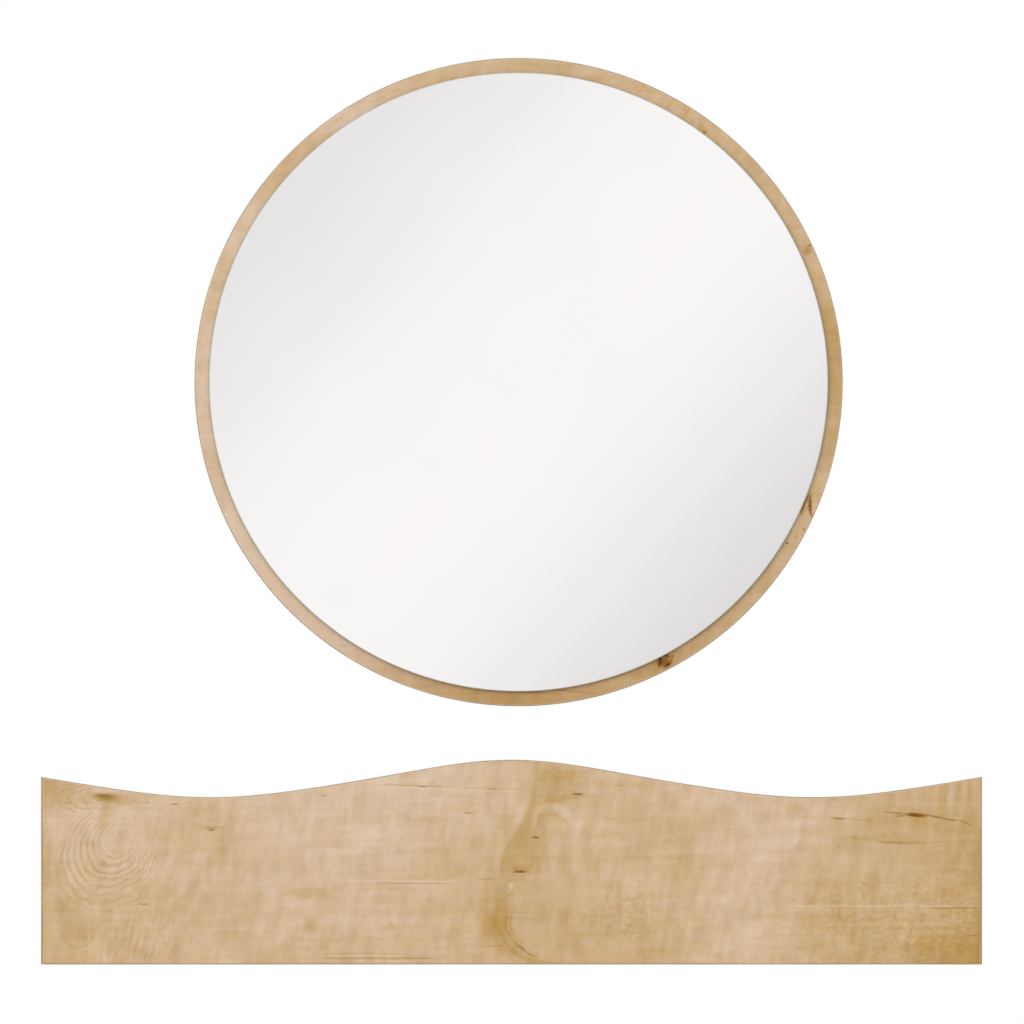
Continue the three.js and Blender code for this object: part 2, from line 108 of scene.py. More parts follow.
def between(tree, value, start, end, low=0, high=1, soft=False):
    """Goes from `low` to `high` while the value goes from `start` to `end`."""
    limits = {"Value": value, "From Min": start, "From Max": end, "To Min": low, "To Max": high}
    blend = "SMOOTHSTEP" if soft else "LINEAR"
    return put(tree, "MapRange", limits, interpolation_type=blend, clamp=not soft)


def colours(tree, value, stops, blend="LINEAR"):
    """A colour ramp of (place, hex code) stops."""
    ramp = put(tree, "ValToRGB", {"Fac": value})
    bar = ramp.node.color_ramp
    bar.interpolation = blend
    for place, code in stops[1:-1]:
        bar.elements.new(place).color = linear(code)
    for element, (place, code) in ((bar.elements[0], stops[0]), (bar.elements[-1], stops[-1])):
        element.position = place
        element.color = linear(code)
    return ramp


def curve(tree, value, points):
    """A smooth curve through (value, height) points."""
    first, last = points[0][0], points[-1][0]
    least, most = min(height for _, height in points), max(height for _, height in points)
    limits = {"Value": value, "From Min": first, "From Max": last}
    share = put(tree, "MapRange", limits, clamp=False)
    drawn = put(tree, "FloatCurve", {"Value": share})
    drawn.node.mapping.extend = "HORIZONTAL"
    line = drawn.node.mapping.curves[0].points
    scaled = [((at - first) / (last - first), (h - least) / (most - least)) for at, h in points]
    for at, height in scaled[1:-1]:
        line.new(at, height)
    line[0].location, line[-1].location = scaled[0], scaled[-1]
    drawn.node.mapping.update()
    return calc(tree, "MULTIPLY_ADD", drawn, most - least, least)


def object_mm(tree, origin=(0, 0, 0)):
    """Where a point of the piece is, in mm from `origin`."""
    shifted = vector(tree, "SUBTRACT", put(tree, "TexCoord", out="Object"), tuple(origin))
    return put(tree, "VectorMath", {0: shifted, "Scale": 1 / MM}, operation="SCALE")


def finished(tree, colour, rough, relief=None, height=None, metallic=0, specular=0.5):
    """Ends a material. Its relief is (strength, depth in mm) and follows a height."""
    surface = {"Base Color": colour, "Roughness": rough, "Metallic": metallic}
    surface["Specular IOR Level"] = specular
    if relief:
        bump = {"Strength": relief[0], "Distance": relief[1] * MM, "Height": height}
        surface["Normal"] = put(tree, "Bump", bump)
    put(tree, "OutputMaterial", {"Surface": put(tree, "BsdfPrincipled", surface)})


def grained(
    name, grain, stops, rough, relief=None, kind="TexNoise", detail=3, ragged=0.5, **fixed
):
    """A material whose colour, roughness and relief follow one pattern. Its grain is one size in
    mm, or three along X, Y and Z. `rough` is a range, or one number that holds all over."""
    material, tree = new_material(name)
    place = object_mm(tree)
    if isinstance(grain, tuple):
        place, grain = vector(tree, "DIVIDE", place, grain), 1
    pattern = {"Vector": place, "Scale": 1 / grain, "Detail": detail, "Roughness": ragged}
    pattern = put(tree, kind, pattern)
    if isinstance(rough, tuple):
        rough = between(tree, pattern, 0.3, 0.7, *rough)
    finished(tree, colours(tree, pattern, stops), rough, relief, pattern, **fixed)
    return material


# %% [markdown]
# ## Camera
#
# The photograph is face-on and has no perspective: the disc is a true circle and the board's ends
# are upright. So the camera is orthographic and looks along +Y, level with the object. The board
# is 941 pixels long there and 900 mm in the frame, which fixes the scale.

# %% Camera
PICTURE_SIDE = 1024
BOARD_LEFT_PX = 41
BOARD_RIGHT_PX = 982
BOARD_BOTTOM_PX = 964.5

front_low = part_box("front_band_left_end")[0]
front_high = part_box("front_band_right_end")[1]
pixel = (front_high.x - front_low.x) / (BOARD_RIGHT_PX - BOARD_LEFT_PX)

camera_data = bpy.data.cameras.new("photo_camera")
camera_data.type = "ORTHO"
camera_data.ortho_scale = PICTURE_SIDE * pixel
camera = bpy.data.objects.new("photo_camera", camera_data)
camera.location = (
    front_low.x + (PICTURE_SIDE / 2 - BOARD_LEFT_PX) * pixel,
    -2,
    front_low.z + (BOARD_BOTTOM_PX - PICTURE_SIDE / 2) * pixel,
)
camera.rotation_euler = (math.radians(90), 0, 0)
scene.collection.objects.link(camera)
scene.camera = camera
print("one pixel is", round(pixel / MM, 4), "mm")

# %% [markdown]
# ## Room and light
#
# The photograph's background is plain white and has no shadow, so the camera sees a white sky.
# What lights the object is told apart from it with Light Path: one big soft light from the front,
# a little from the left, over an even fill that keeps the back readable.
#
# The Standard view transform keeps white white and the oak its own colour. The floor is as far
# below as under a real hall shelf.

# %% Room and light
FLOOR_DROP = 0.85
FLOOR_SIDE = 60
TO_LIGHT = Vector((-0.3, -0.94, 0.12)).normalized()
FILL = 0.555
KEY = 1.75
KEY_FOCUS = 3

scene.view_settings.view_transform = "Standard"
scene.view_settings.look = "None"

world = bpy.data.worlds.new("studio")
world.use_nodes = True
sky = world.node_tree
sky.nodes.clear()
direction = put(sky, "TexCoord", out="Generated")
facing = vector(sky, "DOT_PRODUCT", direction, TO_LIGHT, out="Value")
key = calc(sky, "POWER", calc(sky, "MAXIMUM", facing, 0), KEY_FOCUS)
glow = calc(sky, "MULTIPLY_ADD", key, KEY, FILL)
seen = put(sky, "Background", {"Color": (1, 1, 1, 1), "Strength": 1})
lighting = put(sky, "Background", {"Color": (1, 1, 1, 1), "Strength": glow})
is_camera = put(sky, "LightPath", out="Is Camera Ray")
put(sky, "OutputWorld", {"Surface": put(sky, "MixShader", {0: is_camera, 1: lighting, 2: seen})})
scene.world = world


def scenery(name, material, half_size, place, tilt=0):
    """A flat square that isn't part of the object, level or tilted about X."""
    bm = bmesh.new()
    bmesh.ops.create_grid(bm, x_segments=1, y_segments=1, size=half_size)
    turn = Matrix.Rotation(math.radians(tilt), 4, "X")
    bmesh.ops.transform(bm, verts=bm.verts, matrix=Matrix.Translation(place) @ turn)
    mesh = bpy.data.meshes.new(name)
    bm.to_mesh(mesh)
    bm.free()
    mesh.materials.append(material)
    made = bpy.data.objects.new(name, mesh)
    scene.collection.objects.link(made)
    return made


floor_paint, tree = new_material("pale_painted_floor")
speckle = put(tree, "TexNoise", {"Vector": object_mm(tree), "Scale": 1 / 25, "Detail": 4})
matte = put(tree, "BsdfDiffuse", {"Color": between(tree, speckle, 0.3, 0.7, 0.87, 0.89)})
put(tree, "OutputMaterial", {"Surface": matte})
scenery("floor", floor_paint, FLOOR_SIDE / 2, (0, 0, front_low.z - FLOOR_DROP))

# %% [markdown]
# ## What the mirror sees
#
# Seen straight on, a flat mirror shows only what is straight in front of it: in the photograph a
# pale wall with a soft bright band from the lower left to the upper right. A card far in front,
# seen by reflections alone, gives the glass the same tones.

# %% Card for the mirror
CARD_DISTANCE = 3
CARD_HALF_SIDE = 0.65
ACROSS_BAND = (0.743, 0, -0.669)  # from the upper left to the lower right
# Distance from the mirror's middle in shares of its radius, and what shows there.
BAND_TONES = (
    (-1, "E6E3E4"), (-0.54, "F2EEEE"), (-0.27, "F6F3F3"), (0.05, "F9F4F5"),
    (0.27, "F8F4F4"), (0.54, "F1EDEE"), (0.7, "EBE8E8"), (1, "DEDBDB"),
)

glass_low, glass_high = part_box("mirror_glass")
mirror_middle = (glass_low + glass_high) / 2
glass_radius = (glass_high.x - glass_low.x) / 2

pale_wall, tree = new_material("pale_wall_in_the_mirror")
from_middle = vector(tree, "SUBTRACT", put(tree, "TexCoord", out="Object"), mirror_middle)
across = vector(tree, "DOT_PRODUCT", from_middle, ACROSS_BAND, out="Value")
share = between(tree, across, -glass_radius, glass_radius)
tones = colours(tree, share, [((at + 1) / 2, code) for at, code in BAND_TONES], "CARDINAL")
distance = vector(tree, "MULTIPLY", from_middle, (1, 0, 1))
distance = vector(tree, "LENGTH", distance, out="Value")
shown = between(tree, distance, 1.1 * glass_radius, 2 * glass_radius, 1, 0, soft=True)
glowing = put(tree, "Emission", {"Color": tones, "Strength": 1.03})
clear = put(tree, "BsdfTransparent")
put(tree, "OutputMaterial", {"Surface": put(tree, "MixShader", {0: shown, 1: clear, 2: glowing})})
card_place = (mirror_middle.x, -CARD_DISTANCE, mirror_middle.z)
card = scenery("mirror_card", pale_wall, CARD_HALF_SIDE, card_place, tilt=90)
card.visible_camera = card.visible_diffuse = False
card.visible_shadow = card.visible_transmission = False
print("mirror middle", [round(c, 4) for c in mirror_middle])

# %% [markdown]
# ## Small tools for shapes
#
# Every piece is made at the origin, in metres, and takes the place of its CAD node.
#
# - `copy_of` starts from the node's own solid: right for sawn boards with bores and for cut bars.
# - `turned` spins a profile about an axis: right for what a lathe, a mould or a round saw made.
# - `ease` takes the sharp arrises off, because a dead sharp edge never catches light.
# - `show` smooths what is round, keeps what is sharp, and hands the shape over.
# - `eased_copy` does all that for plain pieces, and `wall_end` measures round ones.

# %% Shapes
pieces = {}


def copy_of(node):
    """The CAD node's solid with its corners merged and its flat faces made whole."""
    bm = bmesh.new()
    bm.from_mesh(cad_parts[node].data)
    bmesh.ops.remove_doubles(bm, verts=bm.verts, dist=0.01 * MM)
    bmesh.ops.dissolve_limit(bm, verts=bm.verts, edges=bm.edges, angle_limit=math.radians(1))
    return bm


def turned(profile, place, aim, steps=64, closed=False):
    """Spins (radius, distance) points in mm about the axis from `place` along `aim`."""
    bm = bmesh.new()
    line = [bm.verts.new((radius * MM, 0, along * MM)) for radius, along in profile]
    for start, end in zip(line, line[1:] + (line[:1] if closed else [])):
        bm.edges.new((start, end))
    whole = {"cent": (0, 0, 0), "axis": Z, "angle": 2 * math.pi, "steps": steps, "use_merge": True}
    bmesh.ops.spin(bm, geom=bm.verts[:] + bm.edges[:], **whole)
    bmesh.ops.remove_doubles(bm, verts=bm.verts, dist=0.001 * MM)
    aimed = Z.rotation_difference(aim).to_matrix().to_4x4()
    bmesh.ops.transform(bm, verts=bm.verts, matrix=Matrix.Translation(place) @ aimed)
    bmesh.ops.recalc_face_normals(bm, faces=bm.faces)
    return bm


def long_edge(edge):
    """Whether an edge is one of a board's own, not the rim of a bore."""
    return edge.calc_length() > 12 * MM


def ease(bm, radius, segments=3, chosen=long_edge):
    """Rounds the sharp edges that are chosen. The radius is in mm."""
    bm.normal_update()
    sharp = [e for e in bm.edges if e.is_manifold and e.calc_face_angle() > math.radians(30)]
    rounded = {"affect": "EDGES", "segments": segments, "profile": 0.5, "material": -1}
    geom = [edge for edge in sharp if chosen(edge)]
    bmesh.ops.bevel(bm, geom=geom, offset=radius * MM, clamp_overlap=True, **rounded)


def paint(bm, choose):
    """Sets each face's material by number."""
    bm.normal_update()
    for face in bm.faces:
        face.material_index = choose(face)


def show(bm, node, *materials):
    """Puts a finished shape in the place of a CAD node. Flat faces stay flat beside their rounded
    edges, because the weighted normals let the big faces win."""
    bm.normal_update()
    for face in bm.faces:
        face.smooth = True
    for edge in bm.edges:
        edge.smooth = edge.is_manifold and edge.calc_face_angle() < math.radians(35)
    gaps = sum(not edge.is_manifold for edge in bm.edges)
    pieces[node] = (sum(len(face.verts) - 2 for face in bm.faces), gaps)
    mesh = bpy.data.meshes.new(node + "_shape")
    bm.to_mesh(mesh)
    bm.free()
    for material in materials:
        mesh.materials.append(material)
    piece = bpy.data.objects.new(node + "_shape", mesh)
    piece.modifiers.new("even_flats", "WEIGHTED_NORMAL").keep_sharp = True
    scene.collection.objects.link(piece)
    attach(piece, "root")
    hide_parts(node)


def eased_copy(node, material, radius):
    """Shows the CAD node's own solid in one material, with its arrises rounded by `radius` mm."""
    bm = copy_of(node)
    ease(bm, radius)
    show(bm, node, material)


def wall_end(node):
    """The middle of a round piece's end towards the wall, and its radius and length in mm."""
    low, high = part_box(node)
    end = Vector(((low.x + high.x) / 2, high.y, (low.z + high.z) / 2))
    return end, (high.x - low.x) / 2 / MM, (high.y - low.y) / MM


# %% [markdown]
# ## Knotty oak decor
#
# The boards are chipboard faced with melamine: a printed oak picture under a satin resin. An image
# could carry it, but a node tree on the piece's own coordinates stays sharp at any size. So the
# picture grows mark by mark, in four sums:
#
# - tone picks a colour from one ramp, on which darker oak is also yellower;
# - shade makes it lighter or darker in the same hue, as pores and flecks do;
# - warm makes it more or less colourful, as old resin does;
# - brown lays the stain of cracks and knots over it as a filter, so that a thin one stays warm.

# %% Oak decor
OAK_RAMP = ((0, "AE843C"), (0.25, "B89252"), (0.5, "C3A06D"), (0.75, "CEAF89"), (1, "D9BFA5"))
CRACK_BROWN, KNOT_BROWN = "6C5438", "6C3C1E"


class OakDecor:
    """An oak picture on a piece, in mm along the grain and across it from `origin`."""

    def __init__(self, name, along, across, origin, seed, tone=0.7):
        self.material, self.tree = new_material(name)
        axes = (along, across, ({0, 1, 2} - {along, across}).pop())
        parts = put(self.tree, "SeparateXYZ", {0: object_mm(self.tree, origin)}).node.outputs
        plan = put(self.tree, "CombineXYZ", {n: parts[axis] for n, axis in enumerate(axes)})
        # The plan is moved by the seed, so that no two boards are alike, and bent as growth does.
        self.print = vector(self.tree, "ADD", plan, (61.7 * seed, 37.1 * seed, 0))
        wander = self.noise(26, 3, 0.6)
        self.bent = vector(self.tree, "MULTIPLY_ADD", wander, (16, 12, 0), plan)
        self.swayed = vector(self.tree, "MULTIPLY_ADD", wander, (4, 2, 0), plan)
        self.frayed = vector(self.tree, "MULTIPLY_ADD", self.noise(2.4, 2, 0.7), (6, 2, 0), plan)
        warm = between(self.tree, self.drift(16), 0.2, 0.8, 0.94, 1.06, soft=True)
        self.sums = {"tone": tone, "shade": 1, "warm": warm, "brown": 0}

    def noise(self, size, detail, rough):
        """A vector that wanders about 0 over `size` mm."""
        settings = {"Vector": self.print, "Scale": 1 / size, "Detail": detail, "Roughness": rough}
        wander = put(self.tree, "TexNoise", settings, out="Color")
        return vector(self.tree, "SUBTRACT", wander, (0.5, 0.5, 0.5))

    def drift(self, size):
        """A number that wanders about a half over `size` mm."""
        return put(self.tree, "TexNoise", {"Vector": self.print, "Scale": 1 / size, "Detail": 1})

    def add(self, mark, **shares):
        """Adds a mark, which is a number from 0 to 1 or about 0, to the sums."""
        for name, share in shares.items():
            if share:
                self.sums[name] = calc(self.tree, "MULTIPLY_ADD", mark, share, self.sums[name])

    def placed(self, where, at, up, run, width, turn=0, thick=1e6):
        """A place seen from an ellipse, in shares of its half length, half width and thickness."""
        spin = (0, 0, math.radians(turn))
        sockets = {"Vector": where, "Location": (at, up, 0), "Rotation": spin}
        sockets["Scale"] = (run, width, thick)
        return put(self.tree, "Mapping", sockets, vector_type="TEXTURE")

    def clouds(self, run, width, detail=2, rough=0.6, turn=0, within=None, **shares):
        """Soft patches of a size along and across the grain, all over or within an ellipse."""
        sized = self.placed(self.print, 0, 0, run, width, turn, max(run, width))
        settings = {"Vector": sized, "Scale": 1, "Detail": detail, "Roughness": rough}
        mark = calc(self.tree, "SUBTRACT", put(self.tree, "TexNoise", settings), 0.5)
        if within:
            mark = calc(self.tree, "MULTIPLY", mark, self.ellipse(self.bent, *within))
        self.add(mark, **shares)
        return mark

    def ellipse(self, where, *place, start=0, blunt=1):
        """1 in an ellipse's middle, 0 outside it. A blunt one keeps its width to its ends."""
        away = self.placed(where, *place)
        if blunt > 1:
            away = vector(self.tree, "ABSOLUTE", away)
            away = vector(self.tree, "POWER", away, (blunt, 1, 1))
        away = vector(self.tree, "LENGTH", away, out="Value")
        return between(self.tree, away, start, 1, 1, 0, soft=True)

    # The rows of marks are in mm and degrees, and their tone and brown are in hundredths.

    def patches(self, *rows):
        """Soft patches: (along, up, half run, half width, turn, tone)."""
        for *place, tone in rows:
            self.add(self.ellipse(self.bent, *place), tone=tone / 100)

    def dashes(self, *rows):
        """Ragged dark dashes and knots: (along, up, half run, half width, turn, tone, brown)."""
        for *place, tone, brown in rows:
            mark = self.ellipse(self.frayed, *place, start=0.15)
            self.add(mark, tone=tone / 100, brown=brown / 100)

    def lines(self, *rows):
        """Fine lines: (along, up, to along, to up, half width, tone, brown)."""
        for at, up, to_at, to_up, width, tone, brown in rows:
            middle = ((at + to_at) / 2, (up + to_up) / 2)
            half = math.hypot(to_at - at, to_up - up) / 2
            turn = math.degrees(math.atan2(to_up - up, to_at - at))
            mark = self.ellipse(self.swayed, *middle, half, width, turn, start=0.2, blunt=3)
            self.add(mark, tone=tone / 100, brown=brown / 100)

    def arcs(self, *rows):
        """Parts of an outline: (along, up, half run, half height, towards, span, width, tone)."""
        for at, up, run, height, towards, span, width, tone in rows:
            away = self.placed(self.bent, at, up, run, height)
            off = calc(self.tree, "SUBTRACT", vector(self.tree, "LENGTH", away, out="Value"), 1)
            share = width / min(run, height)
            off = calc(self.tree, "ABSOLUTE", off)
            mark = between(self.tree, off, 0.2 * share, share, 1, 0, soft=True)
            aim = (math.cos(math.radians(towards)), math.sin(math.radians(towards)), 0)
            side = vector(self.tree, "DOT_PRODUCT", away, aim, out="Value")
            ends = (min(span + 15, 180), max(span - 15, 0))
            start, full = (math.cos(math.radians(end)) for end in ends)
            side = between(self.tree, side, start, full, soft=True)
            self.add(calc(self.tree, "MULTIPLY", mark, side), tone=tone / 100)

    def spread(self, along, rise, middle=90):
        """Tone along the board from (mm, tone) points, and its rise for each mm up."""
        parts = put(self.tree, "SeparateXYZ", {0: self.bent}).node.outputs
        self.sums["tone"] = curve(self.tree, parts[0], along)
        self.add(calc(self.tree, "SUBTRACT", parts[1], middle), tone=rise)

    def growth_lines(
        self, at, up, lean, pull, spacing, reach, strength, gap=0, flat=1, open_side=0
    ):
        """Nested lines round an eye, in mm: ellipses with the eye as their common focus, longer
        towards `lean` (degrees) by the share `pull`. They start after `gap`, fade out at `reach`,
        and fade on the side away from the lean by the share `open_side`."""
        tree = self.tree
        eye = vector(tree, "SUBTRACT", self.bent, (at, up, 0))
        eye = vector(tree, "MULTIPLY", eye, (1, flat, 0))
        away = vector(tree, "LENGTH", eye, out="Value")
        aim = (math.cos(math.radians(lean)), math.sin(math.radians(lean)), 0)
        towards = vector(tree, "DOT_PRODUCT", eye, aim, out="Value")
        ring = calc(tree, "MULTIPLY_ADD", towards, -pull, away)
        phase = calc(tree, "MULTIPLY", ring, 2 * math.pi / spacing)
        wave_of_rings = calc(tree, "SINE", calc(tree, "MULTIPLY_ADD", self.drift(13), 7, phase))
        dark = between(tree, wave_of_rings, -0.2, 1, soft=True)
        near = between(tree, ring, 0.6 * reach, reach, 1, 0, soft=True)
        patchy = between(tree, self.drift(19), 0.3, 0.65, 0.35, 1, soft=True)
        near = calc(tree, "MULTIPLY", near, patchy)
        if gap:
            past_gap = between(tree, ring, 0.7 * gap, gap, soft=True)
            near = calc(tree, "MULTIPLY", near, past_gap)
        if open_side:
            side = calc(tree, "DIVIDE", towards, calc(tree, "MAXIMUM", away, 1))
            side = between(tree, side, -0.35, 0.45, 1 - open_side, 1, soft=True)
            near = calc(tree, "MULTIPLY", near, side)
        mark = calc(tree, "MULTIPLY", calc(tree, "SUBTRACT", dark, 0.35), near)
        self.add(mark, tone=-strength, shade=-0.2 * strength)

    def ribbon(self, edge, fade, crisp, tone):
        """A darker band. Its crisp side, `crisp` mm wide, runs through (up, along) points. It fades
        out over `fade` mm, to the right where that is positive."""
        tree = self.tree
        parts = put(tree, "SeparateXYZ", {0: self.swayed}).node.outputs
        past = calc(tree, "SUBTRACT", parts[0], curve(tree, parts[1], edge))
        side = math.copysign(crisp / 2, fade)
        begins = between(tree, past, -side, side, soft=True)
        fades = between(tree, past, 0.3 * fade, fade, 1, 0, soft=True)
        first, last = edge[0][0], edge[-1][0]
        below = between(tree, parts[1], first - 4, first + 14, soft=True)
        above = between(tree, parts[1], last - 14, last + 4, 1, 0, soft=True)
        band = calc(tree, "MULTIPLY", begins, fades)
        band = calc(tree, "MULTIPLY", band, calc(tree, "MULTIPLY", below, above))
        self.add(band, tone=tone)

    def everywhere(self, figure=1):
        """What all oak boards share: broad patches, cross figure, mottle and fine fibres."""
        self.clouds(150, 70, detail=1, tone=0.3)
        self.clouds(11, 36, detail=1, turn=-9, tone=0.32 * figure, shade=0.13 * figure)
        self.clouds(50, 44, detail=6, rough=0.92, tone=0.44, shade=0.24)
        self.clouds(90, 8, detail=1, turn=0.6, tone=0.2, shade=0.08)
        self.fibre = self.clouds(9, 0.9, detail=1, tone=0.05, shade=0.06)

    def finish(self, stain=CRACK_BROWN):
        """Turns the sums into a satin printed surface."""
        tree = self.tree
        toned = {
            "Saturation": self.sums["warm"],
            "Value": self.sums["shade"],
            "Color": colours(tree, self.sums["tone"], OAK_RAMP),
        }
        toned = put(tree, "HueSaturation", toned)
        if isinstance(self.sums["brown"], bpy.types.NodeSocket):
            brown = put(tree, "Clamp", {"Value": self.sums["brown"]})
            passes = vector(tree, "POWER", linear(stain)[:3], brown)
            toned = vector(tree, "MULTIPLY", toned, passes)
        rough = between(tree, self.fibre, -0.3, 0.3, 0.5, 0.62)
        finished(tree, toned, rough, (0.2, 0.05), self.fibre, specular=0.25)
        print(self.material.name, "has", len(tree.nodes), "nodes")
        return self.material


# %% [markdown]
# ## The front board's picture
#
# The plank in the photograph has marks that one remembers, so they are placed one by one, in mm
# from the board's left end and its bottom edge: an eye with nested growth lines on the left, the
# brown heart that winds across the middle, a reddish crack on the right, and dashes between them.
#
# Cycles holds some eighty marks in one material; one more and the board turns black. So the face
# is divided into three fields. They share their ground, and no mark ends on a seam. OakDecor says
# what the columns of the rows are.

# %% Front board: ground
FIELD_ENDS = (212, 652)  # mm from the left end
TONE_ALONG = (
    (0, 0.72), (130, 0.8), (250, 0.86), (400, 0.8), (500, 0.7),
    (600, 0.74), (680, 0.86), (790, 0.66), (900, 0.5),
)


def front_field(name):
    """The ground of one field of the front board."""
    decor = OakDecor(f"melamine_oak_front_{name}", 0, 2, origin=front_low, seed=3)
    decor.spread(TONE_ALONG, rise=0.0009)
    decor.everywhere()
    if name != "left":  # bird's eye flecks in the golden wood, from the middle on
        decor.clouds(5, 4, within=(830, 40, 230, 100), tone=0.54, shade=0.16)
    return decor


# %% Front board: left field
left_field = front_field("left")
left_field.growth_lines(78.5, 130, -121, 0.52, 3.8, 51, 0.22, gap=13, open_side=0.95)
left_field.growth_lines(60, 160, 195, 0.45, 7, 40, 0.17, gap=8, flat=2.4, open_side=0.9)
left_field.patches(
    (77, 131, 15, 15, 0, 16),
    (77, 127, 9, 12, 0, -20),
    (84, 145, 18, 9, 0, 12),
    (66, 160, 32, 8, -5, -34),
    (62, 149, 8, 8, 0, -16),
    (80, 154, 10, 3, 0, -16),
    (4, 100, 8, 110, 0, -12),
    (14, 168, 30, 24, 0, -32),
    (34, 36, 20, 24, 0, -15),
    (30, 29, 15, 12, 0, -7),
    (20, 54, 9, 22, 0, -12),
    (168, 129, 20, 5, -3, -22),
    (170, 108, 12, 30, -6, -16),
)
left_field.arcs(
    (77, 130, 9.5, 11, 0, 180, 1.6, -8),
    (78, 131, 16, 14, 10, 60, 1, -8),
    (36, 36, 16, 18, -80, 80, 2.2, -12),
    (34, 36, 22, 22, -60, 40, 2, 5),
)
left_field.dashes(
    (61, 160.8, 17, 5, -2, -36, 10),
    (58.5, 161.8, 10, 1.8, -2, -8, 16),
    (61, 156.5, 7, 8, 0, -22, 0),
    (25, 154.2, 4, 1.2, -4, -18, 12),
    (102.5, 155, 4, 1, 2, -16, 12),
    (127.5, 153.3, 5.5, 1.2, 3, -10, 18),
    (98.7, 57.7, 7, 1.3, -2, -12, 18),
    (163, 128.8, 4, 1.8, 0, -18, 26),
)
left_field.lines(
    (80, 155.5, 120, 153.6, 0.8, -16, 0),
    (120, 153.2, 147, 155.2, 0.8, -18, 3),
    (54, 47, 86, 60, 1, -14, 0),
    (156, 131.2, 176, 131, 0.8, -18, 4),
)
left_field.clouds(9, 45, turn=-24, within=(134, 66, 66, 80), tone=0.5)
left_field.clouds(3.4, 16, turn=-14, within=(92, 22, 84, 56), tone=0.62, shade=0.2)
left_oak = left_field.finish()

# %% Front board: middle field
middle_field = front_field("middle")
middle_field.ribbon(
    (
        (76, 442), (84, 438.8), (96, 439.4), (108, 442.4), (120, 449.5),
        (132, 456.5), (150, 465.6), (160, 469), (180, 471), (198, 472),
    ),
    fade=48, crisp=4, tone=-0.24,
)
middle_field.ribbon(
    (
        (-6, 500), (4, 480.7), (11, 462.6), (19, 452), (29, 447),
        (43, 446), (60, 446), (72, 449), (84, 456),
    ),
    fade=-36, crisp=16, tone=-0.22,
)
middle_field.growth_lines(505, 197, -90, 0.1, 4.6, 30, 0.13, gap=6, flat=1.4)
middle_field.patches(
    (257, 38, 10, 13, 0, -34),
    (253, 67, 36, 8, 0, -24),
    (234, 52, 14, 4, 0, -12),
    (277, 150, 2.5, 12, -4, -18),
    (291, 144, 3, 14, -4, -14),
    (503, 180, 32, 13, 0, -24),
    (503, 160, 30, 8, 3, -26),
    (468, 106, 12, 18, 0, -16),
    (443, 150, 28, 32, -20, 14),
    (401, 147, 42, 5, 0, -14),
    (400, 135, 14, 2, 0, -12),
    (390, 105, 60, 32, 0, -12),
    (385, 84, 60, 5, 0, -14),
    (436, 36, 20, 28, 8, -22),
    (460, 92, 14, 8, 0, -20),
    (450.5, 75, 3.5, 8, 0, 34),
    (447, 70, 5, 3, 0, 20),
    (335, 38, 6, 8, 0, -26),
    (325, 63, 16, 8, 0, -10),
    (528, 92, 10, 6, 0, -16),
    (573, 100, 18, 10, 0, -10),
    (612, 97, 20, 34, 0, -14),
)
middle_field.arcs(
    (489, 131, 19, 21, 90, 75, 4.5, 16),
    (489, 129, 14, 15, 90, 80, 2, -12),
    (482, 42, 34, 32, 212, 50, 1.4, -14),
    (484, 44, 41, 38, 210, 48, 1.6, -14),
    (486, 46, 50, 46, 208, 44, 1.8, -12),
)
middle_field.dashes(
    (271, 161.5, 5, 1, 3, -16, 12),
    (365.5, 170.2, 6, 1.2, -3, -20, 20),
    (432.5, 167.7, 4, 1, -2, -18, 20),
    (408.5, 144.8, 6, 1.3, -2, -14, 22),
    (513.5, 163, 8, 1.4, -1, -32, 38),
    (473, 121.5, 4.5, 1.5, -8, -28, 40),
    (458.5, 88.8, 9, 1.5, 1, -30, 36),
    (462, 14, 14, 1.8, -38, -22, 14),
    (431, 17.6, 16, 1, 2, -18, 6),
    (426, 81.7, 10, 1.2, 2, -18, 6),
)
middle_field.lines(
    (258, 10.6, 352, 10.4, 1, -16, 3),
    (262, 5.8, 388, 5.8, 1.5, -22, 7),
    (318, 172.6, 400, 169, 0.9, -20, 5),
    (400, 169, 470, 166.6, 0.8, -14, 0),
    (322, 170.2, 470, 164.6, 1.4, 8, 0),
    (408, 144.4, 440, 143.8, 0.7, -14, 0),
    (276, 79.9, 416, 79.8, 1.2, 19, 0),
    (318, 77.6, 398, 77.8, 1.1, -18, 4),
    (452, 86.6, 467, 86.6, 0.9, 26, 0),
    (444, 47, 479, 47, 1, 18, 0),
    (444, 45.8, 452, 45.8, 0.8, -20, 6),
    (467, 9.5, 480, 7.5, 0.8, -20, 5),
    (547, 171.2, 560, 171.2, 0.8, -16, 4),
    (540, 139.5, 557, 139.6, 1, -14, 0),
)
middle_field.clouds(4, 5, within=(560, 47, 60, 60), tone=0.6, shade=0.16)
middle_oak = middle_field.finish()

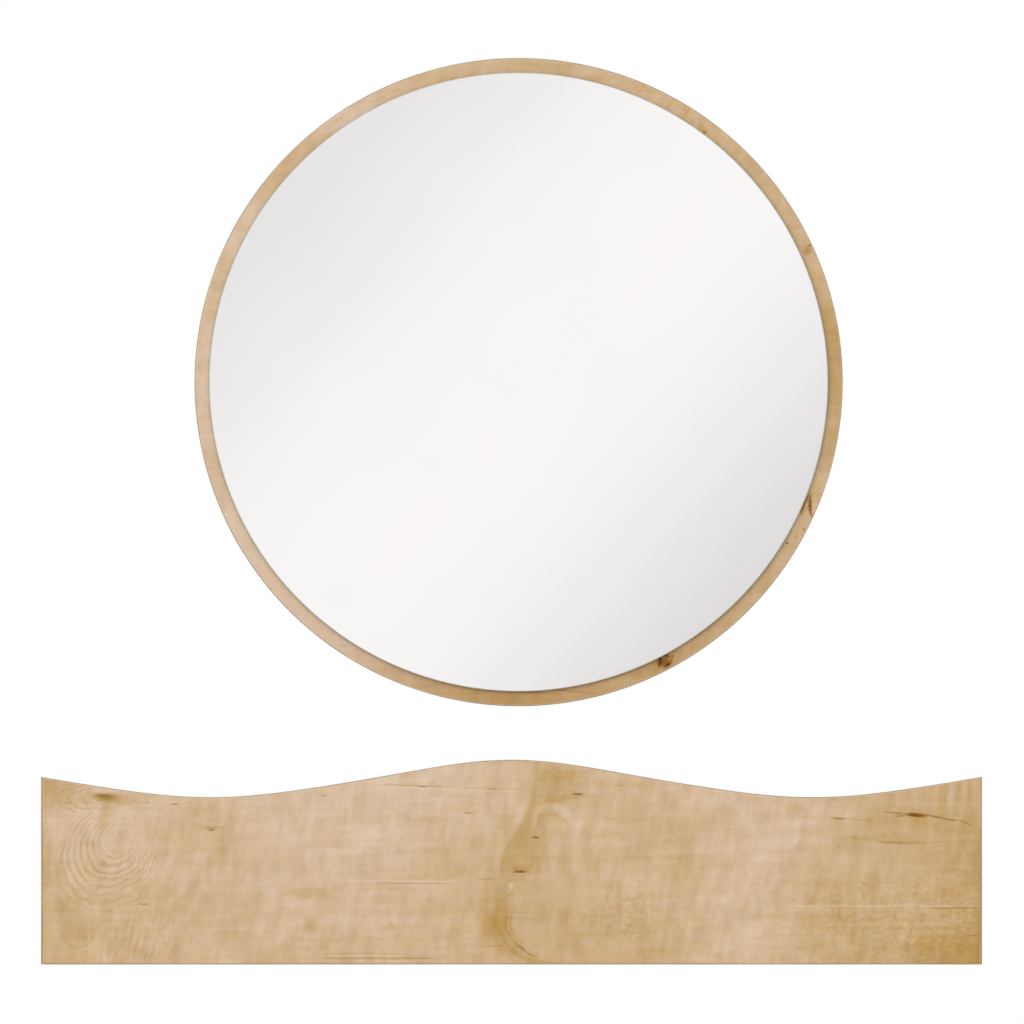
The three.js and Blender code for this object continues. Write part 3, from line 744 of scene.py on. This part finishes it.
# %% Front board: right field
right_field = front_field("right")
right_field.patches(
    (721, 149, 16, 9, 0, -16),
    (836, 143, 30, 7, -3, -12),
    (818, 121, 56, 8, -3, -9),
    (862, 130, 40, 12, -14, -5),
    (894, 88, 16, 40, 0, -14),
    (900, 26, 14, 60, 0, -22),
    (870, 16, 60, 34, 0, -18),
    (872, 50, 34, 10, 0, -10),
    (752, 60, 70, 90, 0, -17),
    (772, 140, 34, 3.5, -3, -14),
    (763.5, 47.5, 2, 10, 0, -24),
    (788, 66, 2, 9, -10, -20),
)
right_field.dashes(
    (837, 143, 13, 2.7, -4, -32, 62),
    (839, 142.8, 8, 0.9, -8, 0, -24),
    (817, 145, 14, 1.2, -4, -28, 20),
    (822, 142.2, 11, 1, 2, -22, 14),
    (855, 141.4, 14, 1.2, -12, -28, 26),
    (870, 138.4, 9, 1.6, -8, -28, 17),
    (884, 135.6, 10, 1.1, -20, -26, 14),
    (763.5, 139.8, 11, 1.5, -2, -20, 18),
    (812, 117.4, 14, 2.2, -2, -10, 4),
)
right_field.lines(
    (704, 142.2, 752, 141, 0.8, -14, 0),
    (770, 139.2, 798, 137, 0.8, -18, 4),
    (767, 122.6, 812, 116.6, 2.2, -14, 0),
    (800, 116.4, 846, 116.8, 1.8, -20, 3),
    (840, 117, 892, 117.6, 1.2, -16, 0),
    (690, 56.2, 905, 56, 1.4, 20, 0),
    (847, 54, 905, 54, 1.1, -24, 6),
    (884, 27.4, 899, 27.4, 0.8, -20, 8),
)
# Dried sap reddens the crack's core.
right_field.add(right_field.ellipse(right_field.frayed, 838, 143, 15, 4, -4), warm=0.28)
right_field.clouds(8, 70, detail=1, turn=-3, within=(872, 162, 50, 36), tone=1)
right_oak = right_field.finish()

# %% [markdown]
# ## Other boards
#
# The disc is cut from another part of the plank: pinker on the left, golden below and on the
# right, with a knot low on the right. The box is cut from quiet boards. Raw chipboard shows where
# no band was glued on: wood chips pressed flat, with dust between them.

# %% Other boards: pictures
disc_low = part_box("mirror_disc_band")[0]
disc = OakDecor("melamine_oak_disc", along=0, across=2, origin=disc_low, seed=11)
disc.everywhere(figure=0.7)
disc.patches(
    (0, 300, 150, 290, 0, 26),
    (100, 90, 150, 130, 0, 36),
    (46, 160, 60, 60, 0, 12),
    (46, 462, 50, 60, 0, 12),
    (150, 560, 130, 80, 0, 18),
    (310, 0, 160, 44, 0, -26),
    (450, 35, 110, 60, 0, -23),
    (583.5, 190, 5, 13, -18, -18),
    (620, 330, 70, 150, 0, -28),
    (560, 470, 70, 60, 0, -6),
    (446, 45, 20, 18, 0, -30),
    (500, 70, 60, 40, 0, -5),
)
disc.dashes(
    (449, 42.5, 9, 8, 0, -38, 26),
    (445, 43, 8, 2.4, 84, -20, 55),
    (451.5, 48.5, 5, 1.7, -20, -15, 45),
    (453, 40, 5.5, 2.2, 40, -15, 50),
    (457, 47, 6, 1.2, 80, -15, 30),
    (566.5, 156, 1.6, 1.4, 0, -20, 45),
    (582.5, 169, 1.8, 1.5, 0, -20, 45),
    (575, 161.5, 1.4, 1.2, 0, -20, 35),
    (588.8, 193, 2.8, 13, 0, -36, 42),
    (590, 184, 2, 8, 12, -20, 20),
    (486, 552, 9, 5, -40, -30, 0),
    (488, 549, 3, 2.4, 0, -20, 24),
    (586, 436, 6, 7, 0, -26, 8),
    (589, 441, 2.5, 2, 0, -10, 26),
)
disc.lines(
    (588, 204, 579, 182, 1.3, -22, 24),
    (166, 576, 200, 592, 1.6, -18, 0),
    (280, 15.5, 345, 12, 1.2, -22, 5),
    (330, 17, 385, 12, 1.2, -20, 5),
)
disc.clouds(4, 20, detail=1, turn=-55, within=(150, 560, 120, 90), tone=0.5)
# Fine slanting figure at the top and on the right.
disc.clouds(3.5, 24, detail=1, turn=-40, within=(420, 480, 260, 230), tone=0.55, shade=0.15)
disc_oak = disc.finish(KNOT_BROWN)


def quiet_oak(name, along, across, seed, eye):
    """A board with nothing to remember but one soft eye."""
    decor = OakDecor(name, along, across, (0, 0, 0), seed, tone=0.64)
    decor.everywhere()
    decor.growth_lines(*eye, lean=190, pull=0.8, spacing=2.2, reach=26, strength=0.14)
    return decor.finish()


shelf_oak = quiet_oak("melamine_oak_shelf", along=0, across=1, seed=5, eye=(-115, -65))
upright_oak = quiet_oak("melamine_oak_upright", along=1, across=2, seed=8, eye=(-60, 40))

chipboard, tree = new_material("raw_chipboard_sawn")
place = object_mm(tree)
pressed = vector(tree, "MULTIPLY", place, (0.35, 0.6, 0.6))
chips = put(tree, "TexVoronoi", {"Vector": pressed, "Scale": 1}, out="Color")
dust = put(tree, "TexNoise", {"Vector": place, "Scale": 1.5, "Detail": 3})
tone = calc(tree, "MULTIPLY_ADD", put(tree, "SeparateColor", {0: chips}), 0.6, dust)
tone = calc(tree, "MULTIPLY", tone, 0.7)
chip_tones = ((0.2, "8F6B45"), (0.45, "BE9A6C"), (0.65, "CDB084"), (0.85, "E0C9A0"))
rough = between(tree, dust, 0.3, 0.7, 0.8, 0.92)
finished(tree, colours(tree, tone, chip_tones), rough, (0.6, 0.2), tone)

# %% [markdown]
# ## Edge bands
#
# A band is a strip of ABS, printed like the faces and glued on hot. Its print is darker than the
# oak, partly its own colour and partly painted shade, so that its edge shows from the front as the
# thin darker line round the boards. Its outer arrises are rounded. The print's fibres run along the
# strip, so there is one material for each way a strip can run.

# %% Band materials


def band_print_with_painted_shade(name, run):
    """Satin ABS, darker than the oak: partly its own print, partly painted shade for the dark
    line at the boards' edges. Its fibres are `run` mm long along X, Y and Z.
    """
    material, tree = new_material(name)
    place = object_mm(tree)
    fibres = {"Vector": vector(tree, "DIVIDE", place, run), "Scale": 1, "Detail": 3}
    fibres = put(tree, "TexNoise", fibres)
    patches = put(tree, "TexNoise", {"Vector": place, "Scale": 1 / 70, "Detail": 1})
    tone = calc(tree, "MULTIPLY_ADD", patches, 0.5, calc(tree, "MULTIPLY", fibres, 0.5))
    # The band's colours are darker than the oak: partly its own print, partly painted shade for the
    # dark line round the boards' edges.
    colour = colours(tree, tone, ((0.3, "9C805A"), (0.5, "B0946C"), (0.7, "C1A580")))
    rough = between(tree, fibres, 0.3, 0.7, 0.42, 0.55)
    finished(tree, colour, rough, (0.2, 0.05), fibres, specular=0.4)
    return material


band_along = band_print_with_painted_shade("abs_band_along_the_length", (30, 0.9, 0.9))
band_deep = band_print_with_painted_shade("abs_band_along_the_depth", (0.9, 30, 0.9))
band_upright = band_print_with_painted_shade("abs_band_upright", (0.9, 0.9, 30))
band_round = band_print_with_painted_shade("abs_band_round_the_disc", (14, 0.9, 14))

# %% [markdown]
# ## Front board
#
# The wave was cut on a router, so it is smooth, but the solid has facets. So the board is made
# again: a flat grid with its rows moved to the bottom edge and to the wave, then extruded.

# %% Front board and its bands
WAVE_MEAN, WAVE_PITCH, WAVE_SWINGS = 177.2, 576, (17.3, 0.75, 0.6)
THIN_BAND, GLUE = 1, 0.1
WAVE_STEPS = 240


def wave(x):
    """Height of the wavy edge above the bottom edge, in mm, at x mm from the middle."""
    turn = 2 * math.pi * x / WAVE_PITCH
    return WAVE_MEAN + sum(s * math.cos((n + 1) * turn) for n, s in enumerate(WAVE_SWINGS))


def upright_board(node, low, high, steps):
    """A board as long and thick as the node, between two heights that are functions of x."""
    box_low, box_high = (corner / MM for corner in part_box(node))
    bm = bmesh.new()
    bmesh.ops.create_grid(bm, x_segments=steps, y_segments=1, size=0.5)
    for vert in bm.verts:
        x = box_low.x + (box_high.x - box_low.x) * (vert.co.x + 0.5)
        height = high(x) if vert.co.y > 0 else low(x)
        vert.co = Vector((x, box_low.y, front_low.z / MM + height)) * MM
    grown = bmesh.ops.extrude_face_region(bm, geom=bm.faces[:])["geom"]
    back = [part for part in grown if isinstance(part, bmesh.types.BMVert)]
    bmesh.ops.translate(bm, verts=back, vec=(0, (box_high.y - box_low.y) * MM, 0))
    bmesh.ops.recalc_face_normals(bm, faces=bm.faces)
    return bm


def arris(test):
    """Chooses the edges along the front or the back whose two ends pass a test of (x, height)."""

    def chosen(edge):
        start, end = (vert.co / MM for vert in edge.verts)
        if abs(start.y - end.y) > 0.01:
            return False
        return all(test(co.x, co.z - front_low.z / MM) for co in (start, end))

    return chosen


edge_of_panel = THIN_BAND + GLUE
bm = upright_board(
    "shelf_front_panel", lambda x: edge_of_panel, lambda x: wave(x) - edge_of_panel, WAVE_STEPS
)
paint(bm, lambda f: sum(f.calc_center_median().x > front_low.x + end * MM for end in FIELD_ENDS))
show(bm, "shelf_front_panel", left_oak, middle_oak, right_oak)

bm = upright_board("front_band_wavy_edge", lambda x: wave(x) - THIN_BAND, wave, WAVE_STEPS)
ease(bm, 0.5, chosen=arris(lambda x, height: abs(height - wave(x)) < 0.01))
show(bm, "front_band_wavy_edge", band_along)

bm = upright_board("front_band_bottom_edge", lambda x: 0, lambda x: THIN_BAND, 1)
ease(bm, 0.5, chosen=arris(lambda x, height: height < 0.01))
show(bm, "front_band_bottom_edge", band_along)

half_length = front_high.x / MM
for side in ("left", "right"):
    bm = upright_board(f"front_band_{side}_end", lambda x: 0, wave, 1)
    ease(bm, 0.8, chosen=arris(lambda x, height: abs(x) > half_length - 0.01))
    show(bm, f"front_band_{side}_end", band_upright)
print("wave from", round(wave(288), 1), "to", round(wave(0), 1), "mm")

# %% [markdown]
# ## The box behind the front
#
# Plain boards, sawn and bored. Their faces carry the decor, their sawn edges show the chipboard.

# %% Box boards


def sawn_board(node, thickness_axis, decor):
    """A board with its decor on the two broad faces and chipboard on the sawn edges and bores."""
    bm = copy_of(node)
    ease(bm, 0.25, segments=1)
    low, high = (corner[thickness_axis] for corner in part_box(node))

    def choose(face):
        height = face.calc_center_median()[thickness_axis]
        outer = min(height - low, high - height) < 0.01 * MM
        return 0 if outer and abs(face.normal[thickness_axis]) > 0.9 else 1

    paint(bm, choose)
    show(bm, node, decor, chipboard)


for node in ("shelf_top_board", "shelf_bottom_board"):
    sawn_board(node, 2, shelf_oak)
for node in ("shelf_left_end", "shelf_right_end", "shelf_middle_rib"):
    sawn_board(node, 0, upright_oak)
for level in ("top", "bottom"):
    for side in ("left", "right"):
        eased_copy(f"{level}_board_band_{side}", band_deep, radius=0.4)

# %% [markdown]
# ## Hanging cleats
#
# Two rips of birch plywood, cut at 45 degrees so that one hooks behind the other. The plies are a
# solid pattern through the thickness: the faces show the outer ply's long grain, and every sawn
# edge the stripes of all thirteen.

# %% Plywood cleats
PLY = 18 / 13

birch, tree = new_material("birch_plywood_sawn")
place = object_mm(tree)
depth = put(tree, "SeparateXYZ", {0: place}).node.outputs[1]
count = calc(tree, "DIVIDE", calc(tree, "ABSOLUTE", depth), PLY)
odd = calc(tree, "GREATER_THAN", calc(tree, "MODULO", count, 2), 1)
fibres = {"Scale": 1, "Detail": 3}
grains = (
    put(tree, "TexNoise", fibres | {"Vector": vector(tree, "DIVIDE", place, run)})
    for run in ((25, 0.8, 0.8), (0.8, 0.8, 25))
)
grain = put(tree, "Mix", {0: odd, **dict(enumerate(grains, 2))}, data_type="FLOAT")
in_ply = calc(tree, "FRACT", count)
from_glue = calc(tree, "MINIMUM", in_ply, calc(tree, "SUBTRACT", 1, in_ply))
tone = calc(tree, "MULTIPLY_ADD", odd, -0.22, grain)
coat = {
    "Value": between(tree, from_glue, 0.03, 0.12, 0.62, 1),
    "Color": colours(tree, tone, ((0.1, "A97F4C"), (0.4, "CBA672"), (0.7, "E2C89D"))),
}
colour = put(tree, "HueSaturation", coat)
finished(tree, colour, between(tree, grain, 0.3, 0.7, 0.6, 0.8), (0.4, 0.1), tone)

for node in ("shelf_wall_cleat", "shelf_box_cleat"):
    eased_copy(node, birch, radius=0.5)

# %% [markdown]
# ## The disc and its band
#
# A round board, cut on a router and banded with one strip that meets itself.

# %% Disc
ROUND_STEPS = 288

disc_place, radius, thick = wall_end("mirror_disc")
profile = [(0, 0), (radius, 0), (radius, thick), (0, thick)]
bm = turned(profile, disc_place, ROOM, ROUND_STEPS)
paint(bm, lambda face: 0 if abs(face.normal.y) > 0.9 else 1)
show(bm, "mirror_disc", disc_oak, chipboard)

rim_radius = wall_end("mirror_disc_band")[1]
inner_radius = rim_radius - THIN_BAND
profile = [(inner_radius, 0), (rim_radius, 0), (rim_radius, thick), (inner_radius, thick)]
bm = turned(profile, disc_place, ROOM, ROUND_STEPS, closed=True)


def on_rim(edge):
    """Whether an edge is on the outer side of the band."""
    middle = (edge.verts[0].co + edge.verts[1].co) / 2 - disc_place
    return math.hypot(middle.x, middle.z) > (rim_radius - 0.2) * MM


ease(bm, 0.5, chosen=on_rim)
show(bm, "mirror_disc_band", band_round)
print("ring", round(rim_radius - glass_radius / MM, 1), "mm wide")

# %% [markdown]
# ## Mirror glass
#
# Float glass, silvered and painted on the back. The silver lies behind 4 mm of faintly green
# glass, so it returns nearly all light with a breath of green. The ground arris is frosted and
# lets light in, so it looks pale and a little green.

# %% Glass
GLASS_ARRIS = 0.8

silver = grained(
    "silvered_float_glass", 120, ((0.3, "FAFCFB"), (0.7, "FCFDFD")), rough=(0, 0.012),
    detail=2, metallic=1,
)
ground = grained(
    "glass_edge_ground", 0.3, ((0.3, "C2CCC4"), (0.7, "D6DED7")), rough=(0.25, 0.45),
    relief=(0.3, 0.02), detail=2, specular=0.6,
)
backing = grained(
    "mirror_backing_paint_rolled", 4, ((0.3, "6E7274"), (0.7, "7B8082")), rough=(0.55, 0.65),
    relief=(0.3, 0.05),
)

place, radius, thick = wall_end("mirror_glass")
profile = [(0, 0), (radius, 0), (radius, thick - GLASS_ARRIS)]
profile += [(radius - GLASS_ARRIS, thick), (0, thick)]
bm = turned(profile, place, ROOM, ROUND_STEPS)
paint(bm, lambda face: 0 if face.normal.y < -0.9 else 2 if face.normal.y > 0.9 else 1)
show(bm, "mirror_glass", silver, ground, backing)

# %% [markdown]
# ## What holds the mirror
#
# Pale foam tape glues the glass to the disc. Two hooked aluminium bars, streaked by the die, hang
# the disc on the wall, and two dull rubber bumpers keep its lower edge off it.

# %% Tape, bars and bumpers
foam = grained(
    "closed_cell_foam_cut", 0.5, ((0, "D2D0C8"), (0.6, "ECEAE4")), rough=0.9,
    relief=(0.5, 0.1), kind="TexVoronoi", detail=0,
)
aluminium = grained(
    "extruded_aluminium_mill_finish", (60, 0.25, 0.25), ((0.3, "BFC1C3"), (0.7, "D6D8DA")),
    rough=(0.28, 0.45), relief=(0.3, 0.02), detail=4, ragged=0.7, metallic=1,
)
rubber = grained(
    "moulded_black_rubber", 1.2, ((0.3, "242425"), (0.7, "353536")), rough=(0.7, 0.9),
    relief=(0.3, 0.05),
)

for third in ("left", "middle", "right"):
    eased_copy(f"mirror_tape_{third}", foam, radius=0.2)
for node in ("mirror_wall_bar", "mirror_disc_bar"):
    eased_copy(node, aluminium, radius=0.3)
for side in ("left", "right"):
    node = f"mirror_bumper_{side}"
    place, radius, height = wall_end(node)
    profile = [(0, 0), (radius - 2, 0), (radius - 0.6, 0.6), (radius, 2)]
    profile += [(radius, height), (0, height)]
    show(turned(profile, place, ROOM, 48), node, rubber)

# %% [markdown]
# ## Fasteners
#
# Cams are die-cast zinc, dull from tumbling, with a cross slot. Bolts and screws are bright
# zinc-plated steel, their threads drawn as rings. Dowels are beech, fluted to let the glue out.

# %% Fastener materials
zinc = grained(
    "die_cast_zinc_tumbled", 0.8, ((0.3, "8C9092"), (0.7, "A9ADAF")), rough=(0.4, 0.6),
    relief=(0.2, 0.02), metallic=1,
)
steel = grained(
    "zinc_plated_steel_bright", 1.5, ((0.3, "B4B6B2"), (0.7, "CFD1CD")), rough=(0.22, 0.38),
    relief=(0.2, 0.02), metallic=1,
)
beech = grained(
    "beech_dowel_fluted", 1.1, ((0.3, "BF9767"), (0.55, "D9B587"), (0.8, "E4C69C")), rough=0.75,
    relief=(0.3, 0.05), ragged=0.7,
)

# %% Fastener shapes


def cross_recess(bm, place, aim, reach, width, depth):
    """Sinks a cross along `aim` into the flat end at `place`. Half lengths and depth are in mm."""
    bmesh.ops.dissolve_limit(bm, verts=bm.verts, edges=bm.edges, angle_limit=math.radians(1))
    side = aim.orthogonal().normalized()
    arms = (side, aim.cross(side))

    def end_faces():
        return [f for f in bm.faces if abs((f.calc_center_median() - place).dot(aim)) < 0.02 * MM]

    for line in arms:
        for shift in (-reach, -width, width, reach):
            flat = end_faces()
            rims = {e for f in flat for e in f.edges} | {v for f in flat for v in f.verts}
            cut = {"plane_co": place + line * shift * MM, "plane_no": line, "dist": 1e-7}
            bmesh.ops.bisect_plane(bm, geom=flat + list(rims), **cut)

    def in_cross(face):
        out = sorted(abs((face.calc_center_median() - place).dot(line)) / MM for line in arms)
        return out[0] < width and out[1] < reach

    cross = [face for face in end_faces() if in_cross(face)]
    sunk = bmesh.ops.extrude_face_region(bm, geom=cross)
    floor = [part for part in sunk["geom"] if isinstance(part, bmesh.types.BMVert)]
    bmesh.ops.translate(bm, verts=floor, vec=aim * depth * MM)
    bmesh.ops.delete(bm, geom=cross, context="FACES")


def thread(radius, start, end, pitch=1.25, depth=0.5):
    """The profile of a thread, drawn as rings."""
    turns = int((end - start) / pitch)
    rings = [start + turn * pitch for turn in range(turns)]
    return [point for at in rings for point in ((radius, at), (radius - depth, at + 0.5 * pitch))]


def every(kind):
    """The nodes of one kind of fastener."""
    return sorted(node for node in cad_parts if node.endswith("_" + kind))


def long_axis(node):
    """Where a long fastener points, its middle, and its half length and radius in mm."""
    low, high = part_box(node)
    size = high - low
    axis = max(range(3), key=lambda n: size[n])
    return (X, Y, Z)[axis], (low + high) / 2, size[axis] / 2 / MM, sorted(size)[1] / 2 / MM


# %% Cams
for node in every("cam"):
    # The slotted end looks into the box: up, down, or towards its middle.
    if node.startswith("front"):
        inward = Z if "bottom" in node else -Z
    else:
        inward = X if node.startswith("left") else -X
    low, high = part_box(node)
    middle, size = (low + high) / 2, high - low
    half, radius = min(size) / 2 / MM, max(size) / 2 / MM
    profile = [(0, -half), (radius - 0.4, -half), (radius, -half + 0.4)]
    profile += [(radius, half - 0.3), (radius - 0.3, half), (0, half)]
    bm = turned(profile, middle, inward, 40)
    cross_recess(bm, middle + inward * half * MM, -inward, reach=4.5, width=0.8, depth=2.5)
    show(bm, node, zinc)

# %% Bolts
# Radius and distance from the end, in mm.
BOLT_HEAD = ((0, 0), (3.1, 0), (3.5, 0.4), (3.5, 2.6), (2.9, 3), (1.9, 3.2), (1.9, 5.5), (2.5, 6))
BOLT_THREAD = 10

for node in every("bolt"):
    aim, middle, half, _ = long_axis(node)
    cam_low, cam_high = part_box(node.replace("_bolt", "_cam"))
    if ((cam_low + cam_high) / 2 - middle).dot(aim) > 0:
        aim = -aim  # from the head, which the cam grips, to the thread
    profile = [(radius, at - half) for radius, at in BOLT_HEAD]
    profile += [(2.5, half - BOLT_THREAD - 0.2)] + thread(3, half - BOLT_THREAD, half - 0.6)
    profile += [(2.2, half), (0, half)]
    show(turned(profile, middle, aim, 24), node, steel)

# %% Dowels
FLUTES, FLUTE_DEPTH = 20, 0.25
CHAMFER, CHAMFER_LENGTH = 1, 1.2

for node in every("dowel"):
    aim, middle, half, radius = long_axis(node)
    profile = [(0, -half), (radius - CHAMFER, -half), (radius, -half + CHAMFER_LENGTH)]
    profile += [(radius, half - CHAMFER_LENGTH), (radius - CHAMFER, half), (0, half)]
    bm = turned(profile, middle, aim, 2 * FLUTES)
    side = aim.orthogonal().normalized()
    for vert in bm.verts:
        spoke = vert.co - middle
        spoke -= aim * spoke.dot(aim)
        step = math.atan2(spoke.dot(aim.cross(side)), spoke.dot(side)) / math.pi * FLUTES
        if spoke.length > 0.9 * radius * MM and round(step) % 2:
            vert.co -= spoke.normalized() * FLUTE_DEPTH * MM
    show(bm, node, beech)

# %% Bar screws
# Radius and distance from the head's end, in mm.
SCREW_HEAD = [(0, 0), (2.4, 0), (3.3, 0.35), (3.9, 1.2), (4, 2.3), (3.8, 2.6), (1.5, 2.6)]

for third in ("left", "middle", "right"):
    node = f"mirror_bar_screw_{third}"
    place, _, length = wall_end(node)
    profile = SCREW_HEAD + thread(2, 3.2, length - 2.5) + [(1.2, length - 2.2), (0, length)]
    bm = turned(profile, place, ROOM, 32)
    cross_recess(bm, place, ROOM, reach=1.9, width=0.4, depth=1.2)
    show(bm, node, steel)

# %% Size and finish
print("pieces", len(pieces), "triangles", sum(count for count, _ in pieces.values()))
print("open edges", {node: gaps for node, (_, gaps) in pieces.items() if gaps})
print("nodes without a piece", sorted(set(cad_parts) - set(pieces)))
